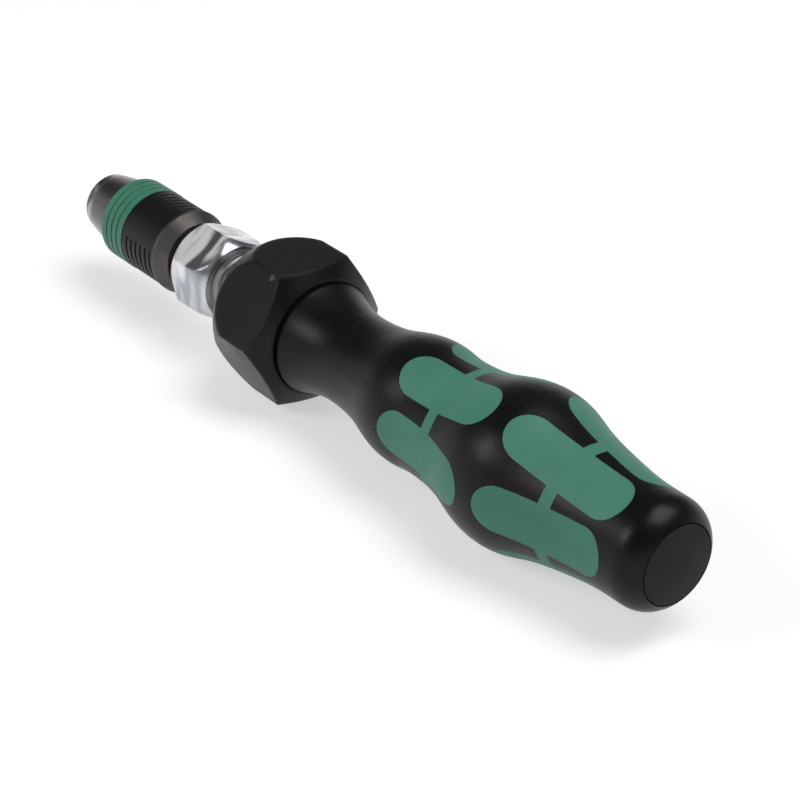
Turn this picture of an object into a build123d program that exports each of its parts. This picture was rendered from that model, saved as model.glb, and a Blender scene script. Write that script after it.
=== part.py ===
from build123d import *
import os
from math import cos, radians, sin, sqrt, tan

# A torque screwdriver lying on its side: bit chuck, chromed bolster, setting collar and grip.
# Sizes are in millimetres. A station is a distance along the tool's axis from the seam between the
# collar and the grip, below zero towards the bit and above zero towards the end cap.

# Clearances
RUNNING_GAP = 0.05
PRESS_GAP = 0.01
SIDE_GAP = 0.1
END_GAP = 0.2

# Grip: radii of its outline and the runs between them, from the seam to the end cap
MOUTH_RADIUS = 10.2
FLARE_RUN = 4.0
FLARE_RADIUS = 8.85
NECK_RUN = 5.5
NECK_RADIUS = 8.15
RISE_RUN = 9.5
RISE_RADIUS = 9.25
SWELL_RUN = 9.0
SWELL_RADIUS = 11.15
WAIST_RUN = 5.5
WAIST_RADIUS = 10.72
CLIMB_RUN = 9.5
CLIMB_RADIUS = 11.75
PALM_RUN = 10.0
PALM_RADIUS = 13.9
FALL_RUN = 8.0
FALL_RADIUS = 12.15
TAPER_RUN = 9.0
TAPER_RADIUS = 10.3
TAIL_RUN = 9.5
TAIL_RADIUS = 9.4
TAIL_LENGTH = 2.9
ROUNDING_RUN = 4.6
CAP_SEAT_RADIUS = 6.85

# Green inlays: two rows of rounded patches joined by a thin bridge
PATCH_COUNT = 6
PATCH_WIDTH = 8.1
PATCH_TURN = 30.0
INLAY_DEPTH = 1.2
BRIDGE_WIDTH = 2.3
FRONT_PATCH_LENGTH = 23.1
FRONT_PATCH_PAST_SWELL = 1.2
FRONT_BRIDGE_PAST_SWELL = 12.4
REAR_PATCH_LENGTH = 24.2
REAR_PATCH_PAST_PALM = 2.9
REAR_BRIDGE_PAST_PALM = 15.0

# End cap
CAP_SEAM = 0.2
CAP_RIM = 1.6
CAP_CROWN = 0.4
CAP_SPIGOT_LENGTH = 7.5
CAP_WALL = 1.4

# Housing tube and what it holds
TUBE_RADIUS = 6.4
TUBE_WALL = 1.0
TUBE_PAST_SCREW = 5.0
TUBE_PAST_PLUG = 2.0
CLIP_WIDTH = 0.8
CLIP_BITE = 0.4
CLIP_REACH = 0.5
CLIP_SETBACK = 2.0
CLIP_OPENING = 2.0

# Setting collar
SEAM_GAP = 0.4
COLLAR_LENGTH = 19.9
COLLAR_ACROSS_FLATS = 24.5
COLLAR_PAST_CORNER = 0.2
COLLAR_OVER_MOUTH = 0.15
COLLAR_REAR_CHAMFER = 2.95
COLLAR_FACE_RADIUS = 6.9
INDEX_PIN_RADIUS = 0.55
INDEX_PIN_LENGTH = 2.6
INDEX_PIN_SETBACK = 4.2
INDEX_PIN_TO_CORNER = 0.9

# Front bush, seen as the steel neck
NECK_LENGTH = 4.6
BUSH_SEAT = 2.6
BUSH_WALL = 2.5
BUSH_LIP_HEIGHT = 0.55
BUSH_LIP_LENGTH = 1.6
BUSH_CHAMFER = 0.3

# Setting screw, spring and clutch
FEED_TRAVEL = 2.5
SCREW_SHOULDER_GAP = 1.0
SCREW_NOSE_INSET = 0.67
WASHER_THICKNESS = 0.8
WASHER_GAP = 0.2
SPRING_LENGTH = 32.0
SPRING_WIRE = 1.5
SPRING_TO_TUBE = 0.45
SPRING_TURNS = 6
PLATE_LENGTH = 5.2
PLATE_RIDE = 0.9
PLATE_TO_CAM = 0.5
CLUTCH_BALLS = 3
HOLES_PER_BALL = 4
CLUTCH_BALL_RADIUS = 0.9
BALL_GAP = 0.03
PIN_RADIUS = 0.8
PIN_INSET = 2.2
PIN_REACH = 0.8
CAM_LENGTH = 5.0
CAM_PIN_RADIUS = 0.75
THRUST_THICKNESS = 2.4
PLUG_LENGTH = 8.0
SPANNER_HOLE_RADIUS = 0.6
SPANNER_HOLE_DEPTH = 2.0

# Spindle with its hexagonal bolster
CLUTCH_TRACK = 2.5
JOURNAL_STEP = 0.6
JOURNAL_SETBACK = 0.9
BOLSTER_GAP = 0.1
BOLSTER_LENGTH = 11.0
BOLSTER_ACROSS_FLATS = 14.6
BOLSTER_TURN = 7.0
BOLSTER_RADIUS = 8.45
BOLSTER_CHAMFER_LENGTH = 2.0
BOLSTER_ROUNDED_LENGTH = 4.8
BOLSTER_FRONT_RADIUS = 6.8
BOLSTER_REAR_RADIUS = 7.0
SPIGOT_TO_MAGNET = 1.7

# Bit chuck
CHUCK_GAP = 1.9
RING_LENGTH = 3.0
RING_THICKNESS = 0.95
RING_STRAIGHT = 0.6
RING_REAR_WALL = 1.05
BAND_LENGTH = 10.1
BAND_THICKNESS = 0.8
BAND_GROOVES = 6
BAND_FIRST_GROOVE = 0.9
BAND_GROOVE_PITCH = 1.5
BAND_GROOVE_WIDTH = 0.6
BAND_GROOVE_DEPTH = 0.3
BAND_SMOOTH_ANGLE = 75.0
BAND_SMOOTH_TURN = 40.0
COLOUR_RING_LENGTH = 7.0
COLOUR_RING_THICKNESS = 0.9
COLOUR_RING_EDGE = 0.6
COLOUR_GROOVES = 3
COLOUR_GROOVE_PITCH = 1.6
COLOUR_GROOVE_WIDTH = 0.35
COLOUR_GROOVE_DEPTH = 0.15
NOSE_LENGTH = 8.8
NOSE_STEP = 0.2
NOSE_TIP_WALL = 1.1
NOSE_TIP_CHAMFER = 0.5
SLEEVE_WALL = 0.75
SLEEVE_INTO_RING = 0.9
CHUCK_SETBACK = 0.9
CHUCK_WALL = 0.68
CHUCK_EDGE = 0.3
CHUCK_BASE_WALL = 1.8
CHUCK_FLANGE_LENGTH = 6.0
BIT_HEX = 6.45
BIT_DEPTH = 15.4
BIT_MOUTH_CHAMFER = 0.35
MAGNET_INSET = 0.6
MAGNET_LENGTH = 2.4

# Chuck release: slider, lock balls, clip and spring
RELEASE_TRAVEL = 3.0
BALL_RELEASE = 0.5
LOCK_BALL_RADIUS = 0.8
LOCK_BALL_INSET = 0.4
LOCK_BALL_DEPTH = 5.9
SLIDER_WALL = 0.7
SLIDER_STEP = 0.5
SLIDER_NOSE_LENGTH = 3.4
SLIDER_REAR_LAND = 5.0
SLEEVE_SPRING_SPACE = 1.0
CHUCK_CLIP_PAST_RAMP = 0.35
CHUCK_CLIP_WIDTH = 0.6
CHUCK_CLIP_BITE = 0.25
SLEEVE_SPRING_WIRE = 0.6
SLEEVE_SPRING_TURNS = 3

# Stations of the grip
FLARE_AT = FLARE_RUN
NECK_AT = FLARE_AT + NECK_RUN
RISE_AT = NECK_AT + RISE_RUN
SWELL_AT = RISE_AT + SWELL_RUN
WAIST_AT = SWELL_AT + WAIST_RUN
CLIMB_AT = WAIST_AT + CLIMB_RUN
PALM_AT = CLIMB_AT + PALM_RUN
FALL_AT = PALM_AT + FALL_RUN
TAPER_AT = FALL_AT + TAPER_RUN
TAIL_AT = TAPER_AT + TAIL_RUN
ROUNDING_AT = TAIL_AT + TAIL_LENGTH
GRIP_END = ROUNDING_AT + ROUNDING_RUN
CAP_END = GRIP_END + CAP_CROWN
CAP_SEAT = GRIP_END - CAP_RIM

# Radii of the housing and what it holds
TUBE_BORE = TUBE_RADIUS - TUBE_WALL
CORE_BORE = TUBE_BORE - END_GAP
SHAFT_RADIUS = TUBE_BORE - CLUTCH_TRACK
JOURNAL_RADIUS = SHAFT_RADIUS - JOURNAL_STEP
BUSH_RADIUS = SHAFT_RADIUS + BUSH_WALL
SCREW_NOSE_RADIUS = TUBE_BORE - SCREW_NOSE_INSET
WASHER_RADIUS = TUBE_BORE - WASHER_GAP
SPRING_RADIUS = TUBE_BORE - SPRING_TO_TUBE - SPRING_WIRE / 2
CLUTCH_PITCH_RADIUS = (SHAFT_RADIUS + TUBE_BORE) / 2 - RUNNING_GAP
CAM_RADIUS = TUBE_BORE - END_GAP
COLLAR_DOME_RADIUS = COLLAR_ACROSS_FLATS / 2 / cos(radians(30)) + COLLAR_PAST_CORNER

# Radii of the chuck, from the bit outwards
BIT_CORNER_RADIUS = BIT_HEX / 2 / cos(radians(30))
CHUCK_RADIUS = BIT_CORNER_RADIUS + CHUCK_WALL
SPIGOT_RADIUS = CHUCK_RADIUS - CHUCK_BASE_WALL
MAGNET_RADIUS = BIT_HEX / 2 - MAGNET_INSET
LOCK_BALL_SEAT_RADIUS = CHUCK_RADIUS - LOCK_BALL_INSET
SLIDER_BORE = CHUCK_RADIUS + RUNNING_GAP
SLIDER_RECESS_RADIUS = CHUCK_RADIUS + SLEEVE_SPRING_SPACE
SLEEVE_SPRING_RADIUS = CHUCK_RADIUS + SLEEVE_SPRING_SPACE / 2
CHUCK_FLANGE_RADIUS = SLIDER_RECESS_RADIUS - SIDE_GAP
CHUCK_CLIP_RADIUS = SLIDER_RECESS_RADIUS - END_GAP
SLIDER_RADIUS = SLIDER_RECESS_RADIUS + SLIDER_WALL
SLIDER_NOSE_RADIUS = SLIDER_RADIUS - SLIDER_STEP
SLEEVE_RADIUS = SLIDER_RADIUS + RUNNING_GAP + SLEEVE_WALL
BAND_RADIUS = SLEEVE_RADIUS + BAND_THICKNESS
COLOUR_RING_RADIUS = SLEEVE_RADIUS + COLOUR_RING_THICKNESS
RING_RADIUS = SLEEVE_RADIUS + RING_THICKNESS
RING_REAR_RADIUS = CHUCK_FLANGE_RADIUS + RING_REAR_WALL
NOSE_RADIUS = SLEEVE_RADIUS + NOSE_STEP
NOSE_TIP_RADIUS = CHUCK_RADIUS + NOSE_TIP_WALL

# Stations of the collar, the neck and the bolster
COLLAR_REAR = -SEAM_GAP
COLLAR_FRONT = COLLAR_REAR - COLLAR_LENGTH
COLLAR_DOME_AT = COLLAR_FRONT + sqrt(COLLAR_DOME_RADIUS**2 - COLLAR_FACE_RADIUS**2)
BUSH_FRONT = COLLAR_FRONT - NECK_LENGTH
BUSH_REAR = COLLAR_FRONT + BUSH_SEAT
BOLSTER_REAR = BUSH_FRONT - BOLSTER_GAP
BOLSTER_FRONT = BOLSTER_REAR - BOLSTER_LENGTH

# Stations of the chuck
RING_REAR = BOLSTER_FRONT - CHUCK_GAP
RING_FRONT = RING_REAR - RING_LENGTH
BAND_FRONT = RING_FRONT - BAND_LENGTH
COLOUR_RING_FRONT = BAND_FRONT - COLOUR_RING_LENGTH
NOSE_TIP = COLOUR_RING_FRONT - NOSE_LENGTH
SLEEVE_REAR = RING_FRONT + SLEEVE_INTO_RING
CHUCK_FRONT = NOSE_TIP + CHUCK_SETBACK
CHUCK_FLANGE_FRONT = BOLSTER_FRONT - CHUCK_FLANGE_LENGTH
BIT_FLOOR = CHUCK_FRONT + BIT_DEPTH
MAGNET_REAR = BIT_FLOOR + MAGNET_LENGTH
SPIGOT_FRONT = MAGNET_REAR + SPIGOT_TO_MAGNET
LOCK_BALL_AT = CHUCK_FRONT + LOCK_BALL_DEPTH
RAMP = BALL_RELEASE / RELEASE_TRAVEL
RAMP_BALL_RADIUS = LOCK_BALL_SEAT_RADIUS + LOCK_BALL_RADIUS * sqrt(1 + RAMP**2) + BALL_GAP
RAMP_FRONT = LOCK_BALL_AT - (RAMP_BALL_RADIUS - SLIDER_BORE) / RAMP
RAMP_REAR = LOCK_BALL_AT + (SLIDER_RECESS_RADIUS - RAMP_BALL_RADIUS) / RAMP
SLIDER_FRONT = RAMP_FRONT - SIDE_GAP
SLIDER_REAR = SLEEVE_REAR - SIDE_GAP
SLIDER_STOP = CHUCK_FLANGE_FRONT - SIDE_GAP
RECESS_REAR = SLIDER_STOP - SLIDER_REAR_LAND
CHUCK_CLIP_FRONT = RAMP_REAR + CHUCK_CLIP_PAST_RAMP
CHUCK_CLIP_REAR = CHUCK_CLIP_FRONT + CHUCK_CLIP_WIDTH

# Stations of the clutch
SCREW_FRONT = BUSH_REAR + FEED_TRAVEL + END_GAP
TUBE_FRONT = SCREW_FRONT + TUBE_PAST_SCREW
SCREW_HEAD_FRONT = TUBE_FRONT + FEED_TRAVEL + SCREW_SHOULDER_GAP
WASHER_REAR = WASHER_THICKNESS
PLATE_FRONT = WASHER_REAR + SPRING_LENGTH
PLATE_REAR = PLATE_FRONT + PLATE_LENGTH
GUIDE_PIN_AT = PLATE_FRONT + PIN_INSET
CAM_FRONT = PLATE_REAR + PLATE_TO_CAM
CAM_REAR = CAM_FRONT + CAM_LENGTH
CAM_PIN_AT = (CAM_FRONT + CAM_REAR) / 2
CAM_HOLE_RADIUS = sqrt(CLUTCH_BALL_RADIUS**2 - PLATE_TO_CAM**2) + BALL_GAP
CAM_HOLE_DEPTH = CLUTCH_BALL_RADIUS - PLATE_TO_CAM + SIDE_GAP
THRUST_FRONT = CAM_REAR + RUNNING_GAP
PLUG_FRONT = THRUST_FRONT + THRUST_THICKNESS
PLUG_REAR = PLUG_FRONT + PLUG_LENGTH
TUBE_REAR = PLUG_REAR + TUBE_PAST_PLUG
JOURNAL_REAR = PLUG_REAR - JOURNAL_SETBACK

# The tool lies on its widest part, with the middle of its length at x = 0 and the floor at z = 0.
AXIS_HEIGHT = PALM_RADIUS
SEAM_X = -(NOSE_TIP + CAP_END) / 2
AXIAL = Plane(origin=(SEAM_X, 0, AXIS_HEIGHT), x_dir=(1, 0, 0), z_dir=(0, -1, 0))
TOOL_AXIS = Axis((SEAM_X, 0, AXIS_HEIGHT), (1, 0, 0))
FAR = 60.0


def across(station):
    """Plane square to the tool's axis, facing the end cap, with its y direction upwards."""
    return Plane(origin=(SEAM_X + station, 0, AXIS_HEIGHT), x_dir=(0, 1, 0), z_dir=(1, 0, 0))


def outward(station, turn):
    """Plane through the axis that faces outwards, turned about it from upwards to the near side."""
    away = (0, -sin(radians(turn)), cos(radians(turn)))
    return Plane(origin=(SEAM_X + station, 0, AXIS_HEIGHT), x_dir=(1, 0, 0), z_dir=away)


def at_angle(station, radius, turn):
    """Point at a station and a radius, turned about the axis from upwards to the near side."""
    return outward(station, turn).from_local_coords((0, 0, radius))


def half_section(*points):
    """Closed outline of a turned piece, as (station, radius) points."""
    with BuildSketch(AXIAL) as section:
        with BuildLine():
            Polyline(*points, close=True)
        make_face()
    return section.sketch


def band(front, rear, inner, outer):
    """Section of a plain ring."""
    return half_section((front, inner), (rear, inner), (rear, outer), (front, outer))


def grip_section():
    """Section of the solid grip."""
    with BuildSketch(AXIAL) as section:
        with BuildLine():
            Spline(
                (0, MOUTH_RADIUS),
                (FLARE_AT, FLARE_RADIUS),
                (NECK_AT, NECK_RADIUS),
                tangents=((1, -0.5), (1, 0)),
            )
            Spline(
                (NECK_AT, NECK_RADIUS),
                (RISE_AT, RISE_RADIUS),
                (SWELL_AT, SWELL_RADIUS),
                tangents=((1, 0), (1, 0)),
            )
            Spline(
                (SWELL_AT, SWELL_RADIUS),
                (WAIST_AT, WAIST_RADIUS),
                tangents=((1, 0), (1, 0)),
            )
            Spline(
                (WAIST_AT, WAIST_RADIUS),
                (CLIMB_AT, CLIMB_RADIUS),
                (PALM_AT, PALM_RADIUS),
                tangents=((1, 0), (1, 0)),
            )
            Spline(
                (PALM_AT, PALM_RADIUS),
                (FALL_AT, FALL_RADIUS),
                (TAPER_AT, TAPER_RADIUS),
                (TAIL_AT, TAIL_RADIUS),
                tangents=((1, 0), (1, 0)),
            )
            Line((TAIL_AT, TAIL_RADIUS), (ROUNDING_AT, TAIL_RADIUS))
            TangentArc((ROUNDING_AT, TAIL_RADIUS), (GRIP_END, CAP_SEAT_RADIUS), tangent=(1, 0))
            Polyline((GRIP_END, CAP_SEAT_RADIUS), (GRIP_END, 0), (0, 0), (0, MOUTH_RADIUS))
        make_face()
    return section.sketch


def clip_ring(front, inner, outer, width, opening):
    """Snap ring with its gap downwards."""
    with BuildPart() as ring:
        revolve(band(front, front + width, inner, outer), TOOL_AXIS)
        with BuildSketch(outward(front + width / 2, 180)):
            Rectangle(2 * width, opening)
        extrude(amount=FAR, mode=Mode.SUBTRACT)
    return ring.part


def coil(front, rear, wire, radius, turns):
    """Spring of square wire between two stations, just clear of both."""
    length = rear - front - wire - 2 * SIDE_GAP
    centre = at_angle(front + wire / 2 + SIDE_GAP, 0, 0)
    with BuildPart() as spring:
        with BuildLine() as path:
            Helix(length / turns, length, radius, center=centre, direction=(1, 0, 0))
        wire_start = path.line @ 0
        wire_plane = Plane(origin=wire_start, x_dir=wire_start - centre, z_dir=path.line % 0)
        with BuildSketch(wire_plane):
            Rectangle(wire, wire)
        sweep(path=path.line)
    return spring.part


def inlay(patch_front, patch_length, bridge_at):
    """One row of rounded patches and the thin bridge that links them, set into the grip."""
    middle = patch_front + patch_length / 2
    with BuildPart() as row:
        revolve(
            band(bridge_at - BRIDGE_WIDTH / 2, bridge_at + BRIDGE_WIDTH / 2, NECK_RADIUS / 2, FAR / 2),
            TOOL_AXIS,
        )
        for patch in range(PATCH_COUNT):
            turn = PATCH_TURN + patch * 360 / PATCH_COUNT
            with BuildSketch(outward(middle, turn)):
                SlotOverall(patch_length, PATCH_WIDTH)
            extrude(amount=FAR / 2)
        add(grip_skin.part, mode=Mode.INTERSECT)
    return row.part


os.makedirs("parts", exist_ok=True)

# Outer layer of the grip, coned on its inner side, which the inlays are cut from
with BuildPart() as grip_skin:
    revolve(grip_section(), TOOL_AXIS)
    revolve(
        half_section(
            (SWELL_AT, 0),
            (SWELL_AT, SWELL_RADIUS - INLAY_DEPTH),
            (WAIST_AT, WAIST_RADIUS - INLAY_DEPTH),
            (CLIMB_AT, CLIMB_RADIUS - INLAY_DEPTH),
            (PALM_AT, PALM_RADIUS - INLAY_DEPTH),
            (FALL_AT, FALL_RADIUS - INLAY_DEPTH),
            (TAPER_AT, TAPER_RADIUS - INLAY_DEPTH),
            (TAIL_AT, TAIL_RADIUS - INLAY_DEPTH),
            (ROUNDING_AT, TAIL_RADIUS - INLAY_DEPTH),
            (ROUNDING_AT, 0),
        ),
        TOOL_AXIS,
        mode=Mode.SUBTRACT,
    )

with BuildPart() as front_grip_inlay:
    add(
        inlay(
            SWELL_AT + FRONT_PATCH_PAST_SWELL,
            FRONT_PATCH_LENGTH,
            SWELL_AT + FRONT_BRIDGE_PAST_SWELL,
        )
    )
front_grip_inlay.part.label = "front_grip_inlay"
export_step(front_grip_inlay.part, "parts/front_grip_inlay.step")

with BuildPart() as rear_grip_inlay:
    add(
        inlay(
            PALM_AT + REAR_PATCH_PAST_PALM,
            REAR_PATCH_LENGTH,
            PALM_AT + REAR_BRIDGE_PAST_PALM,
        )
    )
rear_grip_inlay.part.label = "rear_grip_inlay"
export_step(rear_grip_inlay.part, "parts/rear_grip_inlay.step")

# Moulded grip, hollow behind the tube, with a seat for the cap
with BuildPart() as grip_shell:
    revolve(grip_section(), TOOL_AXIS)
    revolve(band(0, TUBE_REAR, 0, TUBE_RADIUS + PRESS_GAP), TOOL_AXIS, mode=Mode.SUBTRACT)
    revolve(band(TUBE_REAR, CAP_SEAT, 0, CORE_BORE), TOOL_AXIS, mode=Mode.SUBTRACT)
    revolve(band(CAP_SEAT, GRIP_END, 0, CAP_SEAT_RADIUS), TOOL_AXIS, mode=Mode.SUBTRACT)
    add(front_grip_inlay.part, mode=Mode.SUBTRACT)
    add(rear_grip_inlay.part, mode=Mode.SUBTRACT)
grip_shell.part.label = "grip_shell"
export_step(grip_shell.part, "parts/grip_shell.step")

# End cap: a crowned disc with a hollow spigot
with BuildPart() as end_cap:
    with BuildSketch(AXIAL):
        with BuildLine():
            Polyline(
                (CAP_END, 0),
                (CAP_SEAT, 0),
                (CAP_SEAT, CAP_SEAT_RADIUS - CAP_SEAM),
                (GRIP_END, CAP_SEAT_RADIUS - CAP_SEAM),
            )
            TangentArc((CAP_END, 0), (GRIP_END, CAP_SEAT_RADIUS - CAP_SEAM), tangent=(0, 1))
        make_face()
    revolve(axis=TOOL_AXIS)
    spigot_radius = CORE_BORE - PRESS_GAP
    revolve(
        band(CAP_SEAT - CAP_SPIGOT_LENGTH, CAP_SEAT, spigot_radius - CAP_WALL, spigot_radius),
        TOOL_AXIS,
    )
end_cap.part.label = "end_cap"
export_step(end_cap.part, "parts/end_cap.step")

# Housing tube: carries the collar in front and the clutch inside the grip
with BuildPart() as housing_tube:
    revolve(band(TUBE_FRONT, TUBE_REAR, TUBE_BORE, TUBE_RADIUS), TOOL_AXIS)
    revolve(
        band(
            -CLIP_SETBACK - CLIP_WIDTH / 2,
            -CLIP_SETBACK + CLIP_WIDTH / 2,
            TUBE_RADIUS - CLIP_BITE,
            TUBE_RADIUS,
        ),
        TOOL_AXIS,
        mode=Mode.SUBTRACT,
    )
    with BuildSketch(outward(GUIDE_PIN_AT, 0)):
        Circle(PIN_RADIUS + PRESS_GAP)
    extrude(amount=FAR, both=True, mode=Mode.SUBTRACT)
housing_tube.part.label = "housing_tube"
export_step(housing_tube.part, "parts/housing_tube.step")

with BuildPart() as collar_clip:
    add(
        clip_ring(
            -CLIP_SETBACK - CLIP_WIDTH / 2,
            TUBE_RADIUS - CLIP_BITE + PRESS_GAP,
            TUBE_RADIUS + CLIP_REACH,
            CLIP_WIDTH,
            CLIP_OPENING,
        )
    )
collar_clip.part.label = "collar_clip"
export_step(collar_clip.part, "parts/collar_clip.step")

# Two dowels through the tube keep the clutch plate from turning
for number in range(2):
    pin_plane = outward(GUIDE_PIN_AT, 180 * number)
    with BuildPart() as guide_pin:
        with BuildSketch(pin_plane.offset(TUBE_BORE - PIN_REACH)):
            Circle(PIN_RADIUS)
        extrude(amount=TUBE_WALL + PIN_REACH - RUNNING_GAP)
    guide_pin.part.label = f"guide_pin_{number + 1}"
    export_step(guide_pin.part, f"parts/guide_pin_{number + 1}.step")

with BuildPart() as rear_plug:
    plug_bore = JOURNAL_RADIUS + RUNNING_GAP
    revolve(band(PLUG_FRONT, PLUG_REAR, plug_bore, TUBE_BORE - PRESS_GAP), TOOL_AXIS)
    with Locations(across(PLUG_REAR)):
        with PolarLocations((plug_bore + TUBE_BORE) / 2, 2):
            Hole(SPANNER_HOLE_RADIUS, depth=SPANNER_HOLE_DEPTH)
rear_plug.part.label = "rear_plug"
export_step(rear_plug.part, "parts/rear_plug.step")

with BuildPart() as thrust_washer:
    revolve(band(THRUST_FRONT, PLUG_FRONT, plug_bore, TUBE_BORE - RUNNING_GAP), TOOL_AXIS)
thrust_washer.part.label = "thrust_washer"
export_step(thrust_washer.part, "parts/thrust_washer.step")

with BuildPart() as main_spring:
    add(coil(WASHER_REAR, PLATE_FRONT, SPRING_WIRE, SPRING_RADIUS, SPRING_TURNS))
main_spring.part.label = "main_spring"
export_step(main_spring.part, "parts/main_spring.step")

# Setting collar: a hexagon with a domed front and a coned rear face
with BuildPart() as collar_form:
    with BuildSketch(AXIAL):
        with BuildLine():
            Polyline(
                (COLLAR_DOME_AT, COLLAR_DOME_RADIUS),
                (COLLAR_REAR - COLLAR_REAR_CHAMFER, COLLAR_DOME_RADIUS),
                (COLLAR_REAR, MOUTH_RADIUS + COLLAR_OVER_MOUTH),
                (COLLAR_REAR, 0),
                (COLLAR_FRONT, 0),
                (COLLAR_FRONT, COLLAR_FACE_RADIUS),
            )
            RadiusArc(
                (COLLAR_FRONT, COLLAR_FACE_RADIUS),
                (COLLAR_DOME_AT, COLLAR_DOME_RADIUS),
                COLLAR_DOME_RADIUS,
            )
        make_face()
    revolve(axis=TOOL_AXIS)

with BuildPart() as hex_collar:
    with BuildSketch(across(COLLAR_FRONT)):
        RegularPolygon(COLLAR_ACROSS_FLATS / 2, 6, major_radius=False, rotation=0)
    extrude(amount=COLLAR_LENGTH)
    add(collar_form.part, mode=Mode.INTERSECT)
    revolve(
        band(TUBE_FRONT - SIDE_GAP, COLLAR_REAR, 0, TUBE_RADIUS + RUNNING_GAP),
        TOOL_AXIS,
        mode=Mode.SUBTRACT,
    )
    clip_groove = CLIP_WIDTH / 2 + SIDE_GAP
    revolve(
        band(
            -CLIP_SETBACK - clip_groove,
            -CLIP_SETBACK + clip_groove,
            0,
            TUBE_RADIUS + CLIP_REACH + RUNNING_GAP,
        ),
        TOOL_AXIS,
        mode=Mode.SUBTRACT,
    )
    revolve(band(COLLAR_FRONT, BUSH_REAR, 0, BUSH_RADIUS + PRESS_GAP), TOOL_AXIS, mode=Mode.SUBTRACT)
    with BuildSketch(across(BUSH_REAR)):
        RegularPolygon(SCREW_NOSE_RADIUS + RUNNING_GAP, 6)
    extrude(amount=TUBE_FRONT - SIDE_GAP - BUSH_REAR, mode=Mode.SUBTRACT)
    pin_face = outward(COLLAR_REAR - INDEX_PIN_SETBACK, 60).offset(COLLAR_ACROSS_FLATS / 2)
    pin_offset = COLLAR_ACROSS_FLATS / 2 * tan(radians(30)) - INDEX_PIN_TO_CORNER
    with BuildSketch(pin_face):
        with Locations((0, pin_offset)):
            Circle(INDEX_PIN_RADIUS + PRESS_GAP)
    extrude(amount=-INDEX_PIN_LENGTH, mode=Mode.SUBTRACT)
hex_collar.part.label = "hex_collar"
export_step(hex_collar.part, "parts/hex_collar.step")

# Small pin set flush in one flat, as an index mark
with BuildPart() as index_pin:
    with BuildSketch(pin_face):
        with Locations((0, pin_offset)):
            Circle(INDEX_PIN_RADIUS)
    extrude(amount=-INDEX_PIN_LENGTH)
index_pin.part.label = "index_pin"
export_step(index_pin.part, "parts/index_pin.step")

with BuildPart() as front_bush:
    bush_bore = SHAFT_RADIUS + RUNNING_GAP
    lip_rear = BUSH_FRONT + BUSH_LIP_LENGTH
    lip_radius = BUSH_RADIUS + BUSH_LIP_HEIGHT
    revolve(
        half_section(
            (BUSH_FRONT, bush_bore),
            (BUSH_REAR, bush_bore),
            (BUSH_REAR, BUSH_RADIUS),
            (lip_rear, BUSH_RADIUS),
            (lip_rear, lip_radius - BUSH_CHAMFER),
            (lip_rear - BUSH_CHAMFER, lip_radius),
            (BUSH_FRONT, lip_radius),
        ),
        TOOL_AXIS,
    )
front_bush.part.label = "front_bush"
export_step(front_bush.part, "parts/front_bush.step")

# Hollow setting screw: its round head is threaded in the tube, its nose slides in the collar
with BuildPart() as setting_screw:
    revolve(band(SCREW_HEAD_FRONT, 0, 0, TUBE_BORE - RUNNING_GAP), TOOL_AXIS)
    with BuildSketch(across(SCREW_FRONT)):
        RegularPolygon(SCREW_NOSE_RADIUS, 6)
    extrude(amount=SCREW_HEAD_FRONT - SCREW_FRONT)
    revolve(band(SCREW_FRONT, 0, 0, SHAFT_RADIUS + END_GAP), TOOL_AXIS, mode=Mode.SUBTRACT)
setting_screw.part.label = "setting_screw"
export_step(setting_screw.part, "parts/setting_screw.step")

with BuildPart() as spring_washer:
    revolve(band(0, WASHER_REAR, SHAFT_RADIUS + END_GAP, WASHER_RADIUS), TOOL_AXIS)
spring_washer.part.label = "spring_washer"
export_step(spring_washer.part, "parts/spring_washer.step")

# Balls half sunk in holes in the clutch plate, which seat on the rims of the holes in the cam
for number in range(CLUTCH_BALLS):
    ball_turn = 360 / CLUTCH_BALLS * number
    with BuildPart() as clutch_ball:
        with Locations(at_angle(PLATE_REAR, CLUTCH_PITCH_RADIUS, ball_turn)):
            Sphere(CLUTCH_BALL_RADIUS)
    clutch_ball.part.label = f"clutch_ball_{number + 1}"
    export_step(clutch_ball.part, f"parts/clutch_ball_{number + 1}.step")

with BuildPart() as clutch_plate:
    revolve(
        band(PLATE_FRONT, PLATE_REAR, SHAFT_RADIUS + SIDE_GAP, TUBE_BORE - RUNNING_GAP), TOOL_AXIS
    )
    with BuildSketch(across(PLATE_REAR)):
        with PolarLocations(CLUTCH_PITCH_RADIUS, CLUTCH_BALLS, start_angle=90):
            Circle(CLUTCH_BALL_RADIUS + BALL_GAP)
    extrude(amount=-CLUTCH_BALL_RADIUS - BALL_GAP, mode=Mode.SUBTRACT)
    slot_floor = TUBE_BORE - PIN_REACH - SIDE_GAP
    slot_rear = GUIDE_PIN_AT + PIN_RADIUS + PLATE_RIDE + SIDE_GAP
    slot_length = slot_rear - PLATE_FRONT
    for side in (0, 180):
        slot_plane = outward(PLATE_FRONT + slot_length / 2, side)
        with BuildSketch(slot_plane.offset(slot_floor)):
            Rectangle(slot_length, 2 * (PIN_RADIUS + RUNNING_GAP))
        extrude(amount=TUBE_WALL + PIN_REACH, mode=Mode.SUBTRACT)
clutch_plate.part.label = "clutch_plate"
export_step(clutch_plate.part, "parts/clutch_plate.step")

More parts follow.
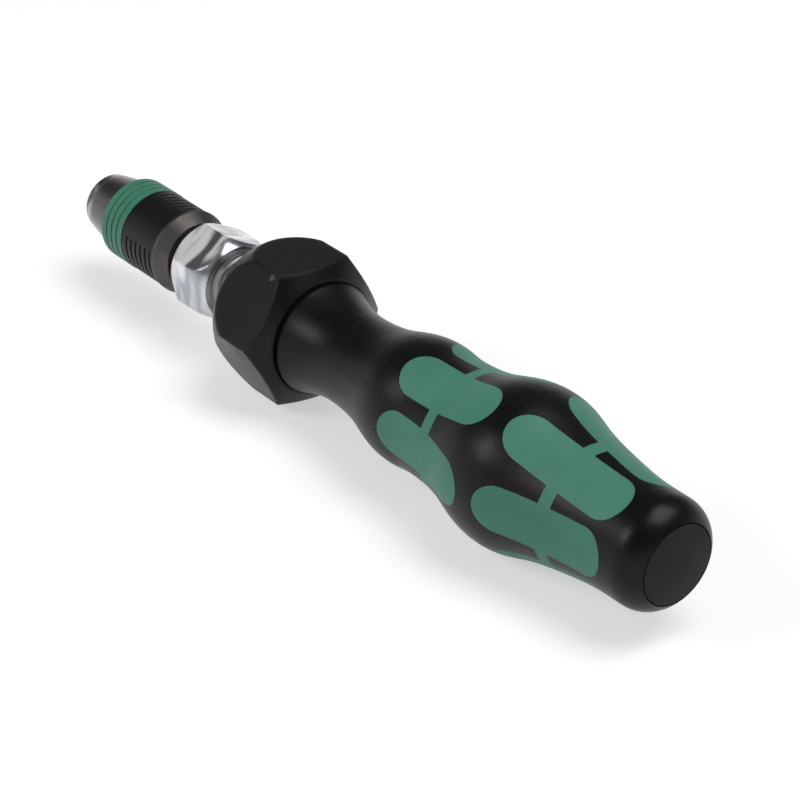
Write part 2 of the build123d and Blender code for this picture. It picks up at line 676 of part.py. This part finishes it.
# Spindle: one turned bar with the bolster hexagon, a front spigot and a rear journal
with BuildPart() as bolster_form:
    chamfer_rear = BOLSTER_FRONT + BOLSTER_CHAMFER_LENGTH
    rounding_front = BOLSTER_REAR - BOLSTER_ROUNDED_LENGTH
    with BuildSketch(AXIAL):
        with BuildLine():
            Polyline(
                (BOLSTER_REAR, BOLSTER_REAR_RADIUS),
                (BOLSTER_REAR, 0),
                (BOLSTER_FRONT, 0),
                (BOLSTER_FRONT, BOLSTER_FRONT_RADIUS),
                (chamfer_rear, BOLSTER_RADIUS),
                (rounding_front, BOLSTER_RADIUS),
            )
            TangentArc(
                (rounding_front, BOLSTER_RADIUS), (BOLSTER_REAR, BOLSTER_REAR_RADIUS), tangent=(1, 0)
            )
        make_face()
    revolve(axis=TOOL_AXIS)

with BuildPart() as hex_spindle:
    with BuildSketch(across(BOLSTER_FRONT)):
        RegularPolygon(BOLSTER_ACROSS_FLATS / 2, 6, major_radius=False, rotation=90 + BOLSTER_TURN)
    extrude(amount=BOLSTER_LENGTH)
    add(bolster_form.part, mode=Mode.INTERSECT)
    revolve(band(SPIGOT_FRONT, BOLSTER_FRONT, 0, SPIGOT_RADIUS), TOOL_AXIS)
    revolve(band(BOLSTER_REAR, CAM_REAR, 0, SHAFT_RADIUS), TOOL_AXIS)
    revolve(band(CAM_REAR, JOURNAL_REAR, 0, JOURNAL_RADIUS), TOOL_AXIS)
    with BuildSketch(outward(CAM_PIN_AT, 0)):
        Circle(CAM_PIN_RADIUS + PRESS_GAP)
    extrude(amount=FAR, both=True, mode=Mode.SUBTRACT)
hex_spindle.part.label = "hex_spindle"
export_step(hex_spindle.part, "parts/hex_spindle.step")

with BuildPart() as drive_cam:
    revolve(band(CAM_FRONT, CAM_REAR, SHAFT_RADIUS + PRESS_GAP, CAM_RADIUS), TOOL_AXIS)
    with BuildSketch(across(CAM_FRONT)):
        with PolarLocations(CLUTCH_PITCH_RADIUS, CLUTCH_BALLS * HOLES_PER_BALL):
            Circle(CAM_HOLE_RADIUS)
    extrude(amount=CAM_HOLE_DEPTH, mode=Mode.SUBTRACT)
    with BuildSketch(outward(CAM_PIN_AT, 0)):
        Circle(CAM_PIN_RADIUS + PRESS_GAP)
    extrude(amount=FAR, both=True, mode=Mode.SUBTRACT)
drive_cam.part.label = "drive_cam"
export_step(drive_cam.part, "parts/drive_cam.step")

with BuildPart() as cam_pin:
    with BuildSketch(outward(CAM_PIN_AT, 0)):
        Circle(CAM_PIN_RADIUS)
    extrude(amount=CAM_RADIUS - SIDE_GAP, both=True)
cam_pin.part.label = "cam_pin"
export_step(cam_pin.part, "parts/cam_pin.step")

# Chuck body: hexagonal bit socket in front, pressed on the spindle's spigot
with BuildPart() as chuck_body:
    revolve(
        half_section(
            (CHUCK_FRONT, 0),
            (BOLSTER_FRONT, 0),
            (BOLSTER_FRONT, CHUCK_FLANGE_RADIUS),
            (CHUCK_FLANGE_FRONT, CHUCK_FLANGE_RADIUS),
            (CHUCK_FLANGE_FRONT, CHUCK_RADIUS),
            (CHUCK_FRONT + CHUCK_EDGE, CHUCK_RADIUS),
            (CHUCK_FRONT, CHUCK_RADIUS - CHUCK_EDGE),
        ),
        TOOL_AXIS,
    )
    with BuildSketch(across(CHUCK_FRONT)):
        RegularPolygon(BIT_HEX / 2, 6, major_radius=False, rotation=30)
    extrude(amount=BIT_DEPTH, mode=Mode.SUBTRACT)
    mouth_radius = BIT_CORNER_RADIUS + BIT_MOUTH_CHAMFER / 2
    revolve(
        half_section(
            (CHUCK_FRONT, 0),
            (CHUCK_FRONT, mouth_radius),
            (CHUCK_FRONT + 2 * BIT_MOUTH_CHAMFER, mouth_radius - 2 * BIT_MOUTH_CHAMFER),
            (CHUCK_FRONT + 2 * BIT_MOUTH_CHAMFER, 0),
        ),
        TOOL_AXIS,
        mode=Mode.SUBTRACT,
    )
    revolve(
        band(BIT_FLOOR, MAGNET_REAR, 0, MAGNET_RADIUS + PRESS_GAP), TOOL_AXIS, mode=Mode.SUBTRACT
    )
    revolve(
        band(SPIGOT_FRONT - SIDE_GAP, BOLSTER_FRONT, 0, SPIGOT_RADIUS + PRESS_GAP),
        TOOL_AXIS,
        mode=Mode.SUBTRACT,
    )
    revolve(
        band(CHUCK_CLIP_FRONT, CHUCK_CLIP_REAR, CHUCK_RADIUS - CHUCK_CLIP_BITE, CHUCK_RADIUS),
        TOOL_AXIS,
        mode=Mode.SUBTRACT,
    )
    with BuildSketch(outward(LOCK_BALL_AT, 0)):
        Circle(LOCK_BALL_RADIUS + BALL_GAP)
    extrude(amount=FAR, both=True, mode=Mode.SUBTRACT)
chuck_body.part.label = "chuck_body"
export_step(chuck_body.part, "parts/chuck_body.step")

with BuildPart() as bit_magnet:
    revolve(band(BIT_FLOOR, MAGNET_REAR, 0, MAGNET_RADIUS), TOOL_AXIS)
bit_magnet.part.label = "bit_magnet"
export_step(bit_magnet.part, "parts/bit_magnet.step")

with BuildPart() as chuck_clip:
    add(
        clip_ring(
            CHUCK_CLIP_FRONT,
            CHUCK_RADIUS - CHUCK_CLIP_BITE + PRESS_GAP,
            CHUCK_CLIP_RADIUS,
            CHUCK_CLIP_WIDTH,
            CLIP_OPENING,
        )
    )
chuck_clip.part.label = "chuck_clip"
export_step(chuck_clip.part, "parts/chuck_clip.step")

with BuildPart() as sleeve_spring:
    add(
        coil(
            CHUCK_CLIP_REAR,
            RECESS_REAR,
            SLEEVE_SPRING_WIRE,
            SLEEVE_SPRING_RADIUS,
            SLEEVE_SPRING_TURNS,
        )
    )
sleeve_spring.part.label = "sleeve_spring"
export_step(sleeve_spring.part, "parts/sleeve_spring.step")

for name, turn in (("upper_lock_ball", 0), ("lower_lock_ball", 180)):
    with BuildPart() as lock_ball:
        with Locations(at_angle(LOCK_BALL_AT, LOCK_BALL_SEAT_RADIUS, turn)):
            Sphere(LOCK_BALL_RADIUS)
    lock_ball.part.label = name
    export_step(lock_ball.part, f"parts/{name}.step")

# Release slider: its ramp holds the lock balls in, and lets them out as it slides forward
with BuildPart() as release_slider:
    shoulder = SLIDER_FRONT + SLIDER_NOSE_LENGTH
    flange_bore = CHUCK_FLANGE_RADIUS + RUNNING_GAP
    revolve(
        half_section(
            (SLIDER_FRONT, SLIDER_BORE),
            (RAMP_FRONT, SLIDER_BORE),
            (RAMP_REAR, SLIDER_RECESS_RADIUS),
            (RECESS_REAR, SLIDER_RECESS_RADIUS),
            (RECESS_REAR, SLIDER_BORE),
            (SLIDER_STOP, SLIDER_BORE),
            (SLIDER_STOP, flange_bore),
            (SLIDER_REAR, flange_bore),
            (SLIDER_REAR, SLIDER_RADIUS),
            (shoulder, SLIDER_RADIUS),
            (shoulder, SLIDER_NOSE_RADIUS),
            (SLIDER_FRONT, SLIDER_NOSE_RADIUS),
        ),
        TOOL_AXIS,
    )
release_slider.part.label = "release_slider"
export_step(release_slider.part, "parts/release_slider.step")

# Steel sleeve: the nose cone and the thin tube under the bands
with BuildPart() as nose_sleeve:
    sleeve_shoulder = shoulder - SIDE_GAP
    nose_bore = SLIDER_NOSE_RADIUS + RUNNING_GAP
    mouth_bore = CHUCK_RADIUS + SIDE_GAP
    revolve(
        half_section(
            (NOSE_TIP, NOSE_TIP_RADIUS - NOSE_TIP_CHAMFER),
            (NOSE_TIP, mouth_bore),
            (SLIDER_FRONT - RUNNING_GAP, mouth_bore),
            (SLIDER_FRONT - RUNNING_GAP, nose_bore),
            (sleeve_shoulder, nose_bore),
            (sleeve_shoulder, SLIDER_RADIUS + RUNNING_GAP),
            (SLEEVE_REAR, SLIDER_RADIUS + RUNNING_GAP),
            (SLEEVE_REAR, SLEEVE_RADIUS),
            (COLOUR_RING_FRONT, SLEEVE_RADIUS),
            (COLOUR_RING_FRONT, NOSE_RADIUS),
            (NOSE_TIP + NOSE_TIP_CHAMFER, NOSE_TIP_RADIUS),
        ),
        TOOL_AXIS,
    )
nose_sleeve.part.label = "nose_sleeve"
export_step(nose_sleeve.part, "parts/nose_sleeve.step")

with BuildPart() as colour_ring:
    revolve(
        half_section(
            (COLOUR_RING_FRONT, SLEEVE_RADIUS),
            (BAND_FRONT, SLEEVE_RADIUS),
            (BAND_FRONT, COLOUR_RING_RADIUS),
            (COLOUR_RING_FRONT + COLOUR_RING_EDGE, COLOUR_RING_RADIUS),
            (COLOUR_RING_FRONT, COLOUR_RING_RADIUS - COLOUR_RING_EDGE),
        ),
        TOOL_AXIS,
    )
    for groove in range(COLOUR_GROOVES):
        groove_at = BAND_FRONT - COLOUR_GROOVE_PITCH * (groove + 1)
        revolve(
            band(
                groove_at - COLOUR_GROOVE_WIDTH / 2,
                groove_at + COLOUR_GROOVE_WIDTH / 2,
                COLOUR_RING_RADIUS - COLOUR_GROOVE_DEPTH,
                COLOUR_RING_RADIUS,
            ),
            TOOL_AXIS,
            mode=Mode.SUBTRACT,
        )
colour_ring.part.label = "colour_ring"
export_step(colour_ring.part, "parts/colour_ring.step")

# Black band, ribbed except for a smooth field on two sides
with BuildPart() as band_grooves:
    for groove in range(BAND_GROOVES):
        groove_at = RING_FRONT - BAND_FIRST_GROOVE - BAND_GROOVE_PITCH * groove
        revolve(
            band(
                groove_at - BAND_GROOVE_WIDTH / 2,
                groove_at + BAND_GROOVE_WIDTH / 2,
                BAND_RADIUS - BAND_GROOVE_DEPTH,
                BAND_RADIUS + BAND_GROOVE_DEPTH,
            ),
            TOOL_AXIS,
        )
    for side in (0, 180):
        field = outward((BAND_FRONT + RING_FRONT) / 2, BAND_SMOOTH_TURN + side)
        with BuildSketch(field):
            Rectangle(BAND_LENGTH, 2 * BAND_RADIUS * sin(radians(BAND_SMOOTH_ANGLE / 2)))
        extrude(amount=FAR, mode=Mode.SUBTRACT)

with BuildPart() as grip_band:
    revolve(band(BAND_FRONT, RING_FRONT, SLEEVE_RADIUS, BAND_RADIUS), TOOL_AXIS)
    add(band_grooves.part, mode=Mode.SUBTRACT)
grip_band.part.label = "grip_band"
export_step(grip_band.part, "parts/grip_band.step")

with BuildPart() as rear_ring:
    ring_bore = CHUCK_FLANGE_RADIUS + SIDE_GAP
    revolve(
        half_section(
            (RING_FRONT, SLEEVE_RADIUS + PRESS_GAP),
            (SLEEVE_REAR, SLEEVE_RADIUS + PRESS_GAP),
            (SLEEVE_REAR, ring_bore),
            (RING_REAR, ring_bore),
            (RING_REAR, RING_REAR_RADIUS),
            (RING_FRONT + RING_STRAIGHT, RING_RADIUS),
            (RING_FRONT, RING_RADIUS),
        ),
        TOOL_AXIS,
    )
rear_ring.part.label = "rear_ring"
export_step(rear_ring.part, "parts/rear_ring.step")
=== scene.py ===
import bpy
from mathutils import Matrix, Vector

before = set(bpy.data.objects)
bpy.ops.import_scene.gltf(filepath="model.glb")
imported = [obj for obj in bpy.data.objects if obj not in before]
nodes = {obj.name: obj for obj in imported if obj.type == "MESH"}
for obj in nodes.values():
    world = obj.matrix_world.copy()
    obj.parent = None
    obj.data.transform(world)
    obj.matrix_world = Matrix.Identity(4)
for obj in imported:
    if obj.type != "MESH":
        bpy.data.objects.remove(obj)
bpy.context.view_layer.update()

# Places on the tool, in metres: the seam of collar and grip, the tip and the axis's height
SEAM_X = -0.0103
NOSE_TIP_X = -0.0771
AXIS_Z = 0.0139

# Painted shade in the seam: just behind the collar's seam the grip loses its reflection and shows
# black up to the first distance, and the painted shade is gone at the second
SEAM_PAINTED_SHADE = (0.0004, 0.0007)

# Share of the painted-highlight length at the tip where the painted highlight is at full strength
TIP_HIGHLIGHT_FULL_SHARE = 0.4

# Values between which a noise mostly lies
NOISE_SPREAD = (0.3, 0.7)

# Colours that wear brings, and the painted highlight at the tool's tip, linear
DUST = (0.16, 0.16, 0.155)
WORN_BLACK = (0.09, 0.09, 0.09)
TIP_HIGHLIGHT_STEEL = (0.5, 0.495, 0.485)

# Radii to which edges are rounded in the shading, and by which worn edges are found
METAL_EDGE = 0.00012
OILED_EDGE = 0.0001
PLATED_EDGE = 0.0005
METAL_WEAR_EDGE = 0.0003
PLASTIC_WEAR_EDGE = 0.00035


# Materials, in object space and in metres
class Material:
    """A Principled material with short ways to add nodes. Noise scales are in cells to a metre."""

    def __init__(self, name, color, roughness, metallic=0.0, specular=0.5):
        self.material = bpy.data.materials.new(name)
        self.material.use_nodes = True
        self.tree = self.material.node_tree
        self.shader = self.tree.nodes["Principled BSDF"]
        self.set("Base Color", (*color, 1.0))
        self.set("Roughness", roughness)
        self.set("Metallic", metallic)
        self.set("Specular IOR Level", specular)
        self.coordinates = self.add("ShaderNodeTexCoord").outputs["Object"]
        self.normal = None

    def add(self, kind, **values):
        node = self.tree.nodes.new(kind)
        for key, value in values.items():
            setattr(node, key, value)
        return node

    def link(self, output, entry):
        self.tree.links.new(output, entry)

    def set(self, name, value):
        self.shader.inputs[name].default_value = value

    def feed(self, name, output):
        self.link(output, self.shader.inputs[name])

    def noise(self, scale, detail=2.0, roughness=0.5, stretch=(1.0, 1.0, 1.0), distortion=0.0):
        mapping = self.add("ShaderNodeMapping")
        mapping.inputs["Scale"].default_value = stretch
        self.link(self.coordinates, mapping.inputs["Vector"])
        node = self.add("ShaderNodeTexNoise")
        node.inputs["Scale"].default_value = scale
        node.inputs["Detail"].default_value = detail
        node.inputs["Roughness"].default_value = roughness
        node.inputs["Distortion"].default_value = distortion
        self.link(mapping.outputs["Vector"], node.inputs["Vector"])
        return node.outputs["Fac"]

    def remap(self, value, low, high, to_low, to_high):
        node = self.add("ShaderNodeMapRange")
        node.inputs["From Min"].default_value = low
        node.inputs["From Max"].default_value = high
        node.inputs["To Min"].default_value = to_low
        node.inputs["To Max"].default_value = to_high
        self.link(value, node.inputs["Value"])
        return node.outputs["Result"]

    def mask(self, value, start, end):
        """0 where value is at start, and 1 where it is at end."""
        return self.remap(value, start, end, 0.0, 1.0)

    def vary(self, noise, low, high):
        """Goes between low and high with a noise."""
        return self.remap(noise, *NOISE_SPREAD, low, high)

    def math(self, operation, a, b):
        node = self.add("ShaderNodeMath", operation=operation)
        for entry, value in zip(node.inputs, (a, b)):
            if isinstance(value, (int, float)):
                entry.default_value = value
            else:
                self.link(value, entry)
        return node.outputs[0]

    def blend(self, factor, first, second):
        """Colour that goes from first to second as factor goes from 0 to 1."""
        node = self.add("ShaderNodeMix", data_type="RGBA")
        self.link(factor, node.inputs["Factor"])
        for entry, value in ((node.inputs[6], first), (node.inputs[7], second)):
            if isinstance(value, tuple):
                entry.default_value = (*value, 1.0)
            else:
                self.link(value, entry)
        return node.outputs[2]

    def bump(self, height, distance):
        node = self.add("ShaderNodeBump")
        node.inputs["Distance"].default_value = distance
        node.inputs["Strength"].default_value = 1.0
        self.link(height, node.inputs["Height"])
        if self.normal is not None:
            self.link(self.normal, node.inputs["Normal"])
        self.normal = node.outputs["Normal"]
        self.feed("Normal", self.normal)

    def bevel(self, radius, samples):
        node = self.add("ShaderNodeBevel")
        node.samples = samples
        node.inputs["Radius"].default_value = radius
        return node.outputs["Normal"]

    def soften(self, radius):
        """Rounds edges in the shading alone."""
        self.normal = self.bevel(radius, samples=4)
        self.feed("Normal", self.normal)

    def edge_wear(self, radius):
        """1 along sharp edges and 0 on open surfaces."""
        rounded = self.bevel(radius, samples=6)
        geometry = self.add("ShaderNodeNewGeometry")
        node = self.add("ShaderNodeVectorMath", operation="DOT_PRODUCT")
        self.link(rounded, node.inputs[0])
        self.link(geometry.outputs["Normal"], node.inputs[1])
        return self.mask(node.outputs["Value"], 0.995, 0.9)

    def along(self):
        """Place along the tool's axis, in metres."""
        node = self.add("ShaderNodeSeparateXYZ")
        self.link(self.coordinates, node.inputs[0])
        return node.outputs["X"]


def moulded_black(name, color, roughness, specular, grain, dust, flat=False):
    """Moulded plastic with specks and scuffs, and painted shade in a thin line just behind the
    collar's seam.
    A flat piece takes its own faces' normals."""
    m = Material(name, color, roughness, specular=specular)
    # Painted shade: the reflection is taken away just behind the collar's seam, so the seam shows
    # as a dark shadow line
    shade_full_to, shade_gone_from = (SEAM_X + distance for distance in SEAM_PAINTED_SHADE)
    m.feed("Specular IOR Level", m.remap(m.along(), shade_full_to, shade_gone_from, 0.0, specular))
    if flat:
        m.normal = m.add("ShaderNodeNewGeometry").outputs["True Normal"]
    cloud = m.noise(90, 4.0, 0.6)
    fine = m.noise(2600, 3.0, 0.6)
    m.feed("Roughness", m.vary(cloud, roughness - 0.05, roughness + 0.07))
    specks = m.remap(m.noise(1500, 2.0, 0.7), 0.69, 0.76, 0.0, dust)
    scuffs = m.remap(m.noise(260, 5.0, 0.75, (1.0, 2.2, 2.2)), 0.6, 0.8, 0.0, dust * 0.45)
    m.feed("Base Color", m.blend(m.math("ADD", specks, scuffs), color, DUST))
    m.bump(fine, grain)
    m.bump(cloud, 0.00006)
    return m.material


def soft_green(name, color, roughness, edge):
    """Soft coloured plastic, a little uneven in tone."""
    m = Material(name, color, roughness, specular=0.3)
    m.soften(edge)
    darker = tuple(c * 0.9 for c in color)
    lighter = tuple(min(1.0, c * 1.08) for c in color)
    cloud = m.noise(70, 3.0, 0.6)
    m.feed("Base Color", m.blend(m.vary(cloud, 0.0, 1.0), darker, lighter))
    m.feed("Roughness", m.vary(m.noise(400, 3.0), roughness - 0.05, roughness + 0.05))
    m.bump(m.noise(3000, 2.0, 0.6), 0.000008)
    return m.material


def turned_metal(name, color, roughness, ring=0.000004, wear=0.0, patina=0.0, tip_highlight_length=None):
    """Turned steel with fine rings, `ring` deep. `wear` brightens its edges, `patina` darkens
    patches, and bright patches painted as highlights lie over the last stretch before the tool's
    tip, as long as the last argument."""
    m = Material(name, color, roughness, metallic=1.0)
    m.soften(METAL_EDGE)
    rings = m.noise(1.0, 3.0, 0.7, (9000.0, 60.0, 60.0))
    cloud = m.noise(220, 4.0, 0.6)
    m.feed("Roughness", m.vary(cloud, roughness * 0.8, roughness * 1.25))
    darker = tuple(c * (1.0 - patina) for c in color)
    base = m.blend(m.mask(cloud, 0.35, 0.7), color, darker)
    if wear:
        brighter = tuple(min(1.0, c + wear) for c in color)
        base = m.blend(m.edge_wear(METAL_WEAR_EDGE), base, brighter)
    # Painted highlights: bright, less metallic patches near the tool's tip, shaped like worn
    # patches
    if tip_highlight_length:
        near = m.mask(m.along(), NOSE_TIP_X + tip_highlight_length, NOSE_TIP_X + TIP_HIGHLIGHT_FULL_SHARE * tip_highlight_length)
        patch = m.math("MULTIPLY", near, m.mask(m.noise(330, 1.0), 0.44, 0.68))
        base = m.blend(patch, base, TIP_HIGHLIGHT_STEEL)
        m.feed("Metallic", m.remap(patch, 0.0, 1.0, 1.0, 0.8))
    m.feed("Base Color", base)
    m.bump(rings, ring)
    return m.material


def plated(name, dark, light, roughness):
    """Bright plating with painted reflection streaks, over a surface that keeps shallow waves from
    grinding.
    """
    m = Material(name, light, roughness, metallic=1.0)
    m.soften(PLATED_EDGE)
    waves = m.noise(330, 1.0, 0.45, (1.0, 0.3, 0.3), 0.5)
    # Painted reflection: light and dark streaks in the colour and metal along the waves, standing
    # in for reflected stripes
    m.feed("Metallic", m.remap(waves, 0.4, 0.6, 0.95, 0.4))
    m.feed("Base Color", m.blend(m.mask(waves, 0.36, 0.62), dark, light))
    m.feed("Roughness", m.vary(m.noise(160, 4.0, 0.6), roughness * 0.7, roughness * 1.5))
    m.bump(waves, 0.00024)
    return m.material


def satin_black(name, color, roughness, specular, edge):
    """Black plastic with edges worn a little grey."""
    m = Material(name, color, roughness, specular=specular)
    m.soften(edge)
    fine = m.noise(5200, 2.0, 0.6)
    cloud = m.noise(130, 3.0, 0.6)
    m.feed("Roughness", m.vary(cloud, roughness - 0.06, roughness + 0.06))
    patches = m.remap(m.noise(700, 3.0), 0.35, 0.65, 0.2, 1.0)
    worn = m.math("MULTIPLY", m.edge_wear(PLASTIC_WEAR_EDGE), patches)
    m.feed("Base Color", m.blend(m.math("MULTIPLY", worn, 0.45), color, WORN_BLACK))
    m.bump(fine, 0.000012)
    return m.material


def oiled_steel(name, color, roughness):
    """Steel under a thin film of oil or oxide."""
    m = Material(name, color, roughness, metallic=0.85)
    m.soften(OILED_EDGE)
    cloud = m.noise(300, 3.0, 0.6)
    m.feed("Roughness", m.vary(cloud, roughness - 0.06, roughness + 0.08))
    m.bump(m.noise(4000, 2.0, 0.6), 0.000006)
    return m.material


handle_black = moulded_black(
    "handle_black", (0.0036, 0.0036, 0.0039), 0.33, specular=0.19, grain=0.00003, dust=0.12
)
cap_black = moulded_black(
    "cap_black", (0.0075, 0.0075, 0.0077), 0.5, specular=0.15, grain=0.00001, dust=0.1, flat=True
)
inlay_green = soft_green("inlay_green", (0.06, 0.222, 0.152), 0.52, edge=0.00005)
ring_green = soft_green("ring_green", (0.048, 0.222, 0.138), 0.45, edge=0.0004)
collar_black = satin_black(
    "collar_black", (0.0042, 0.0042, 0.0044), 0.33, specular=0.21, edge=0.001
)
band_black = satin_black("band_black", (0.0045, 0.0045, 0.0046), 0.4, specular=0.25, edge=0.0003)
bolster_chrome = plated("bolster_chrome", (0.36, 0.38, 0.42), (0.9, 0.905, 0.91), 0.18)
neck_steel = turned_metal(
    "neck_steel", (0.36, 0.355, 0.345), 0.4, ring=0.000012, wear=0.08, patina=0.25
)
# The nose's tip has painted highlights
nose_steel = turned_metal(
    "nose_steel", (0.1, 0.098, 0.095), 0.16, ring=0.000002, wear=0.3, patina=0.3, tip_highlight_length=0.0032
)
ring_grey = turned_metal("ring_grey", (0.1, 0.094, 0.09), 0.48, patina=0.1)
bright_steel = turned_metal("bright_steel", (0.62, 0.62, 0.62), 0.24)
dark_steel = turned_metal("dark_steel", (0.25, 0.245, 0.24), 0.32, wear=0.1, patina=0.2)
spring_steel = oiled_steel("spring_steel", (0.3, 0.3, 0.31), 0.3)
black_oxide = oiled_steel("black_oxide", (0.03, 0.03, 0.032), 0.4)
magnet_metal = plated("magnet_metal", (0.5, 0.5, 0.52), (0.62, 0.62, 0.64), 0.25)
index_grey = turned_metal("index_grey", (0.08, 0.08, 0.08), 0.5)
bronze = turned_metal("bronze", (0.5, 0.33, 0.16), 0.32)

finishes = {
    "grip_shell": handle_black,
    "front_grip_inlay": inlay_green,
    "rear_grip_inlay": inlay_green,
    "end_cap": cap_black,
    "housing_tube": black_oxide,
    "collar_clip": spring_steel,
    "guide_pin_1": bright_steel,
    "guide_pin_2": bright_steel,
    "rear_plug": bright_steel,
    "thrust_washer": bronze,
    "main_spring": spring_steel,
    "hex_collar": collar_black,
    "index_pin": index_grey,
    "front_bush": neck_steel,
    "setting_screw": dark_steel,
    "spring_washer": bright_steel,
    "clutch_plate": dark_steel,
    "clutch_ball_1": bright_steel,
    "clutch_ball_2": bright_steel,
    "clutch_ball_3": bright_steel,
    "hex_spindle": bolster_chrome,
    "drive_cam": dark_steel,
    "cam_pin": bright_steel,
    "chuck_body": dark_steel,
    "bit_magnet": magnet_metal,
    "chuck_clip": spring_steel,
    "sleeve_spring": spring_steel,
    "release_slider": bright_steel,
    "nose_sleeve": nose_steel,
    "grip_band": band_black,
    "colour_ring": ring_green,
    "rear_ring": ring_grey,
    "upper_lock_ball": bright_steel,
    "lower_lock_ball": bright_steel,
}
for name, node in nodes.items():
    node.data.materials.clear()
    node.data.materials.append(finishes[name])

# Floor, which glows white to the camera and in reflections but lights nothing
FLOOR_SIZE = 6.0
FLOOR_COLOR = (0.62, 0.62, 0.62)
FLOOR_ROUGHNESS = (0.85, 0.95)
FLOOR_GLOW = 0.52

bpy.ops.mesh.primitive_plane_add(size=FLOOR_SIZE, location=(0.0, 0.0, 0.0))
floor = bpy.context.object
floor.name = "floor"
paper = Material("paper", FLOOR_COLOR, 0.9, specular=0.1)
paper.feed("Roughness", paper.vary(paper.noise(30, 2.0), *FLOOR_ROUGHNESS))
path = paper.add("ShaderNodeLightPath")
seen = paper.math("MAXIMUM", path.outputs["Is Camera Ray"], path.outputs["Is Glossy Ray"])
seen = paper.math("MAXIMUM", seen, path.outputs["Is Transmission Ray"])
paper.feed("Emission Strength", paper.math("MULTIPLY", seen, FLOOR_GLOW))
paper.set("Emission Color", (1.0, 1.0, 1.0, 1.0))
floor.data.materials.append(paper.material)

# Room, white low down all round and darker above
ROOM_LOW, ROOM_HIGH = 0.1, 0.36
ROOM_LOW_STRENGTH, ROOM_HIGH_STRENGTH = 0.85, 0.13

world = bpy.data.worlds.new("studio")
bpy.context.scene.world = world
world.use_nodes = True
sky = world.node_tree
background = sky.nodes["Background"]
background.inputs["Color"].default_value = (1.0, 1.0, 1.0, 1.0)
direction = sky.nodes.new("ShaderNodeTexCoord")
height = sky.nodes.new("ShaderNodeSeparateXYZ")
room = sky.nodes.new("ShaderNodeMapRange")
room.interpolation_type = "SMOOTHSTEP"
room.inputs["From Min"].default_value = ROOM_LOW
room.inputs["From Max"].default_value = ROOM_HIGH
room.inputs["To Min"].default_value = ROOM_LOW_STRENGTH
room.inputs["To Max"].default_value = ROOM_HIGH_STRENGTH
sky.links.new(direction.outputs["Generated"], height.inputs[0])
sky.links.new(height.outputs["Z"], room.inputs["Value"])
sky.links.new(room.outputs["Result"], background.inputs["Strength"])


# Lamps
def softbox(name, place, side, power):
    """Square lamp with sides of `side` metres, turned to the middle of the floor."""
    data = bpy.data.lights.new(name, "AREA")
    data.shape = "SQUARE"
    data.size = side
    data.energy = power
    light = bpy.data.objects.new(name, data)
    bpy.context.scene.collection.objects.link(light)
    light.location = place
    light.rotation_euler = (-Vector(place)).to_track_quat("-Z", "Y").to_euler()


softbox("top_box", (0.25, 0.2, 0.85), side=0.62, power=5.4)
softbox("left_box", (-0.3, -0.7, 0.5), side=0.34, power=2.5)

# Camera, at the photograph's angle
CAMERA_RIGHT = Vector((0.615826, 0.787201, 0.032928))
CAMERA_UP = Vector((-0.398557, 0.275189, 0.874887))
CAMERA_BACK = Vector((0.6796, -0.5519, 0.4832))
CAMERA_PLACE = Vector((SEAM_X + 0.310, -0.23455, AXIS_Z + 0.20297))
SENSOR_WIDTH = 36.0
LENS = 116.59

camera_data = bpy.data.cameras.new("camera")
camera_data.sensor_fit = "HORIZONTAL"
camera_data.sensor_width = SENSOR_WIDTH
camera_data.lens = LENS
camera = bpy.data.objects.new("camera", camera_data)
bpy.context.scene.collection.objects.link(camera)
turn = Matrix((CAMERA_RIGHT, CAMERA_UP, CAMERA_BACK)).transposed().to_4x4()
camera.matrix_world = Matrix.Translation(CAMERA_PLACE) @ turn
bpy.context.scene.camera = camera
bpy.context.scene.view_settings.view_transform = "Standard"
